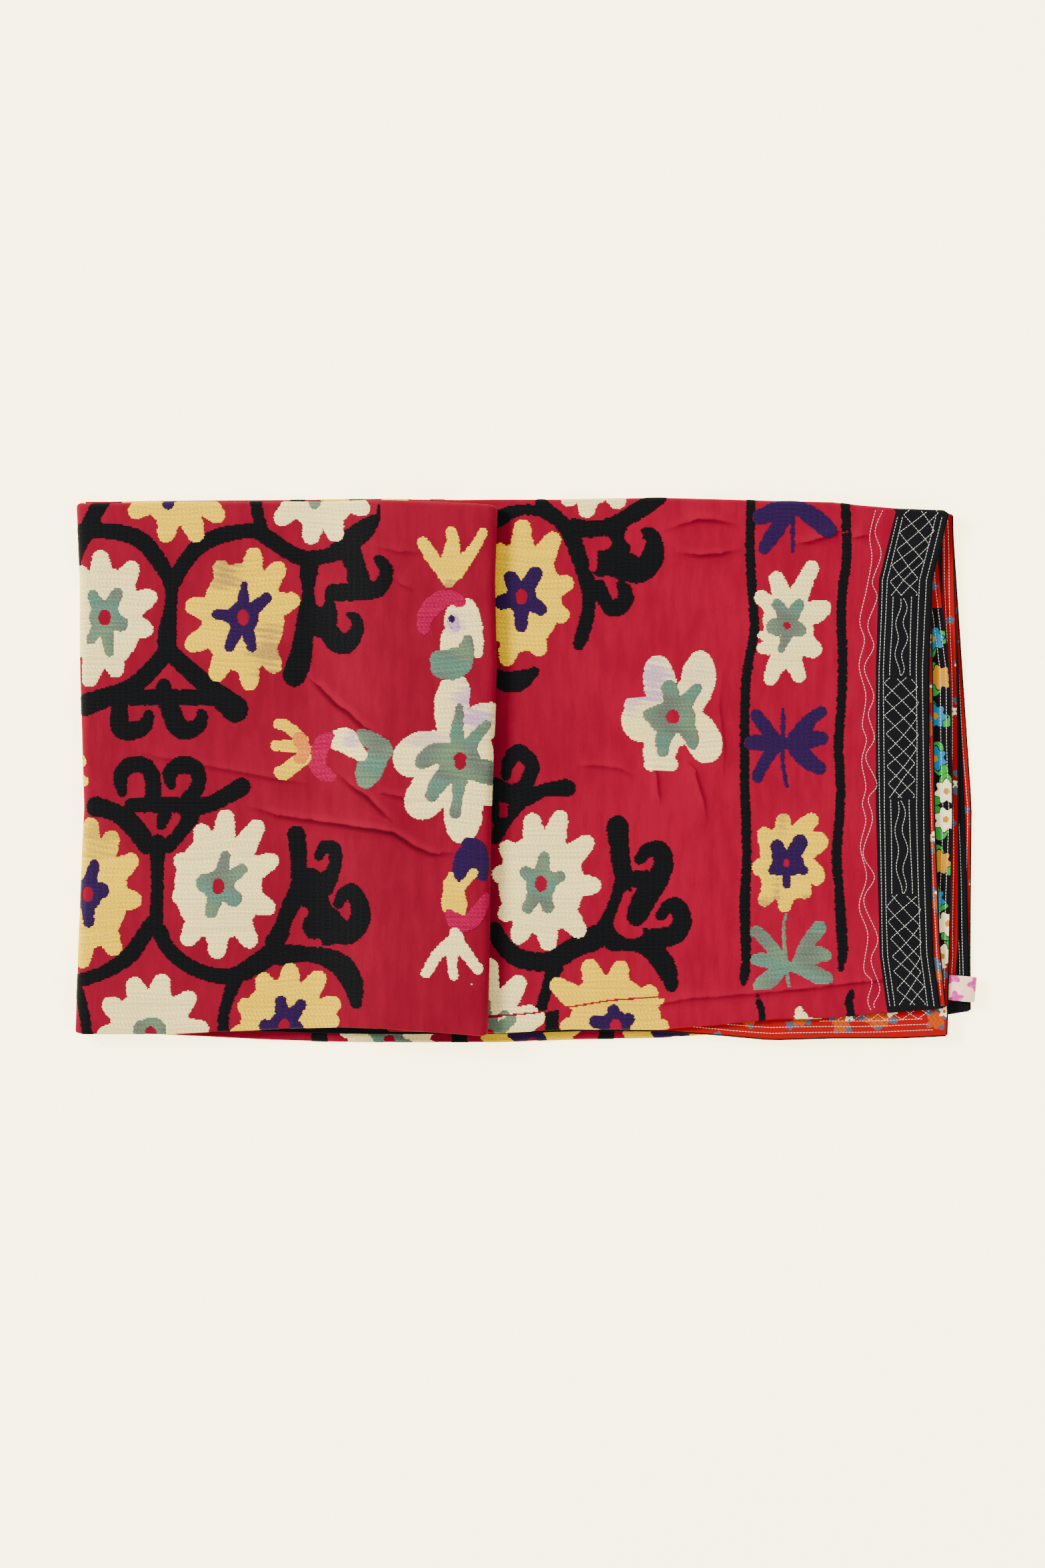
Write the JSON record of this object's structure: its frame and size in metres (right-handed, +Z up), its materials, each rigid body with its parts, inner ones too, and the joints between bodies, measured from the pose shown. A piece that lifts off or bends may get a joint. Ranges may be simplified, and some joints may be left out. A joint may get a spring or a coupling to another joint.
{
  "type": "folded embroidered wall hanging",
  "caption": "Lined cotton wall hanging with yarn embroidery and quilted border bands, folded flat in layers with a short flap on top and a hanging loop at its hem.",
  "frame": {"origin": "under the middle of the folded bundle's box, on the surface it lies on", "axes": "+X along the folded width, towards the free hems and the hanging loop; +Y across the width; +Z up"},
  "size_m": [1.0046, 0.6068, 0.0462],
  "materials": {
    "ground_cloth": "red plain-weave cotton with raised yarn embroidery",
    "lining_print": "printed cotton with small flowers",
    "border_band": "black cotton, machine quilted in white",
    "loop_print": "printed cotton strip"
  },
  "bodies": {
    "root": {"ground_cloth": "ground_cloth", "lining": "lining_print", "border_band_panel_end": "border_band", "border_band_under_end": "border_band", "border_band_inner_side": "border_band", "border_band_outer_side": "border_band", "hanging_loop": "loop_print"}
  },
  "joints": []
}
